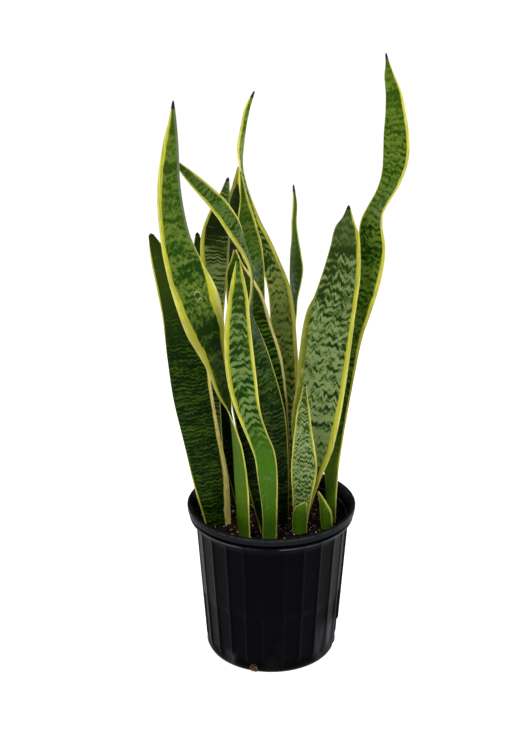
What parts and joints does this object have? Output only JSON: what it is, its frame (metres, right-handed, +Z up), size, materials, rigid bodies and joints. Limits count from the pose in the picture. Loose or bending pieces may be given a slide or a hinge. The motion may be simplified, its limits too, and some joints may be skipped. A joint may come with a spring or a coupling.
{
  "type": "potted snake plant",
  "caption": "Flat sword-shaped succulent leaves, banded green with yellow margins, standing upright and twisting in the soil of a fluted black nursery pot.",
  "frame": {"origin": "middle of the pot's underside, on the surface that it stands on", "axes": "+Z up along the leaves, -Y towards the front of the plant, +X to the viewer's right"},
  "size_m": [0.3516, 0.2521, 0.8482],
  "materials": {
    "pot": "satin",
    "soil": "matte",
    "sage": "satin",
    "green": "satin",
    "dark": "satin"
  },
  "bodies": {
    "root": {"pot": "pot", "soil": "soil", "leaf_left_broad": "dark", "leaf_left_tall": "sage", "leaf_left_back": "dark", "leaf_back_dark": "dark", "leaf_crossing": "dark", "leaf_front": "sage", "leaf_centre_green": "green", "leaf_centre_dark": "dark", "leaf_centre_tall": "green", "leaf_centre_broad": "dark", "leaf_front_shaded": "dark", "leaf_back_narrow": "dark", "leaf_right_broad": "sage", "leaf_right_tall": "green", "leaf_right_short": "sage", "sheath_right_short": "green", "sheath_right_tall": "green"}
  },
  "joints": []
}
